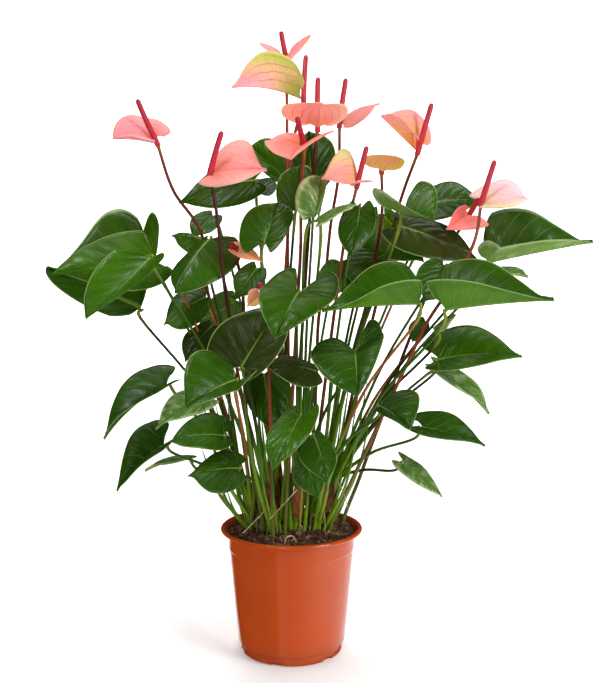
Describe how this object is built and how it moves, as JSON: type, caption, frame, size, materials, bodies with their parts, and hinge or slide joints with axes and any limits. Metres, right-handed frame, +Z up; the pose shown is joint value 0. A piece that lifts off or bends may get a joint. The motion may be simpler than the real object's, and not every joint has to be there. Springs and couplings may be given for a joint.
{
  "type": "potted flamingo flower",
  "caption": "Bushy flamingo flower with heart-shaped glossy leaves and pink spathes on tall stalks, in a round tapering nursery pot.",
  "frame": {"origin": "centre of the pot's underside, on the floor", "axes": "+Z up out of the pot; -Y towards the side that the picture shows; +X to the right in the picture"},
  "size_m": [0.6293, 0.3784, 0.7487],
  "materials": {
    "pot_plastic": "satin terracotta-coloured plastic, smooth with faint rings",
    "bark_mix": "damp dark bark and peat, rough",
    "green_stem": "fresh green stem tissue, slightly waxy",
    "flower_stalk": "maroon stalk with a crimson flower spike, smooth",
    "leaf_dark": "dark green waxy leaf, glossy on top",
    "leaf_bright": "fresh green waxy leaf, glossy on top",
    "leaf_pale": "pale young leaf, satin",
    "leaf_olive": "olive green leaf, satin",
    "spathe_pink": "salmon pink waxy bract, satin with deeper veins",
    "spathe_coral": "coral waxy bract, satin",
    "spathe_orange": "orange-yellow waxy bract, satin",
    "spathe_green": "yellow-green bract flushed pink, satin",
    "spathe_blush": "pale pink bract with a green-yellow edge, satin"
  },
  "bodies": {
    "root": {"pot": "pot_plastic", "soil": "bark_mix", "crown": "green_stem", "leaf_left_back": "leaf_dark", "leaf_left_bright": "leaf_bright", "leaf_left_front": "leaf_bright", "leaf_left_dark": "leaf_dark", "leaf_top_left": "leaf_dark", "leaf_top_centre": "leaf_dark", "leaf_centre_cupped": "leaf_pale", "leaf_centre_upright": "leaf_dark", "leaf_right_pale": "leaf_bright", "leaf_right_flat": "leaf_dark", "leaf_far_right_upper": "leaf_dark", "leaf_right_olive": "leaf_olive", "leaf_far_right_dark": "leaf_dark", "leaf_right_shaded": "leaf_dark", "leaf_centre_folded": "leaf_dark", "leaf_centre_glossy": "leaf_dark", "leaf_centre_heart": "leaf_dark", "leaf_centre_olive": "leaf_olive", "leaf_centre_left": "leaf_dark", "leaf_low_left_far": "leaf_dark", "leaf_low_left_tip": "leaf_dark", "leaf_low_left_round": "leaf_dark", "leaf_low_left_bottom": "leaf_dark", "leaf_low_centre_bright": "leaf_bright", "leaf_low_centre_dark": "leaf_dark", "leaf_right_glossy": "leaf_bright", "leaf_low_right_inner": "leaf_dark", "leaf_low_right_outer": "leaf_dark", "leaf_low_right_bottom": "leaf_pale", "bloom_far_left_stalk": "flower_stalk", "bloom_far_left_spathe": "spathe_pink", "bloom_left_stalk": "flower_stalk", "bloom_left_spathe": "spathe_pink", "bloom_top_back_stalk": "flower_stalk", "bloom_top_back_spathe": "spathe_pink", "bloom_top_green_stalk": "flower_stalk", "bloom_top_green_spathe": "spathe_green", "bloom_top_centre_stalk": "flower_stalk", "bloom_top_centre_spathe": "spathe_pink", "bloom_top_right_stalk": "flower_stalk", "bloom_top_right_spathe": "spathe_pink", "bloom_centre_coral_stalk": "flower_stalk", "bloom_centre_coral_spathe": "spathe_coral", "bloom_right_folded_stalk": "flower_stalk", "bloom_right_folded_spathe": "spathe_orange", "bloom_centre_pale_stalk": "flower_stalk", "bloom_centre_pale_spathe": "spathe_blush", "bloom_right_orange_stalk": "flower_stalk", "bloom_right_orange_spathe": "spathe_orange", "bloom_far_right_stalk": "flower_stalk", "bloom_far_right_spathe": "spathe_blush", "bloom_right_coral_stalk": "flower_stalk", "bloom_right_coral_spathe": "spathe_coral", "bloom_hidden_orange_stalk": "flower_stalk", "bloom_hidden_orange_spathe": "spathe_orange", "bloom_hidden_green_stalk": "flower_stalk", "bloom_hidden_green_spathe": "spathe_orange"}
  },
  "joints": []
}
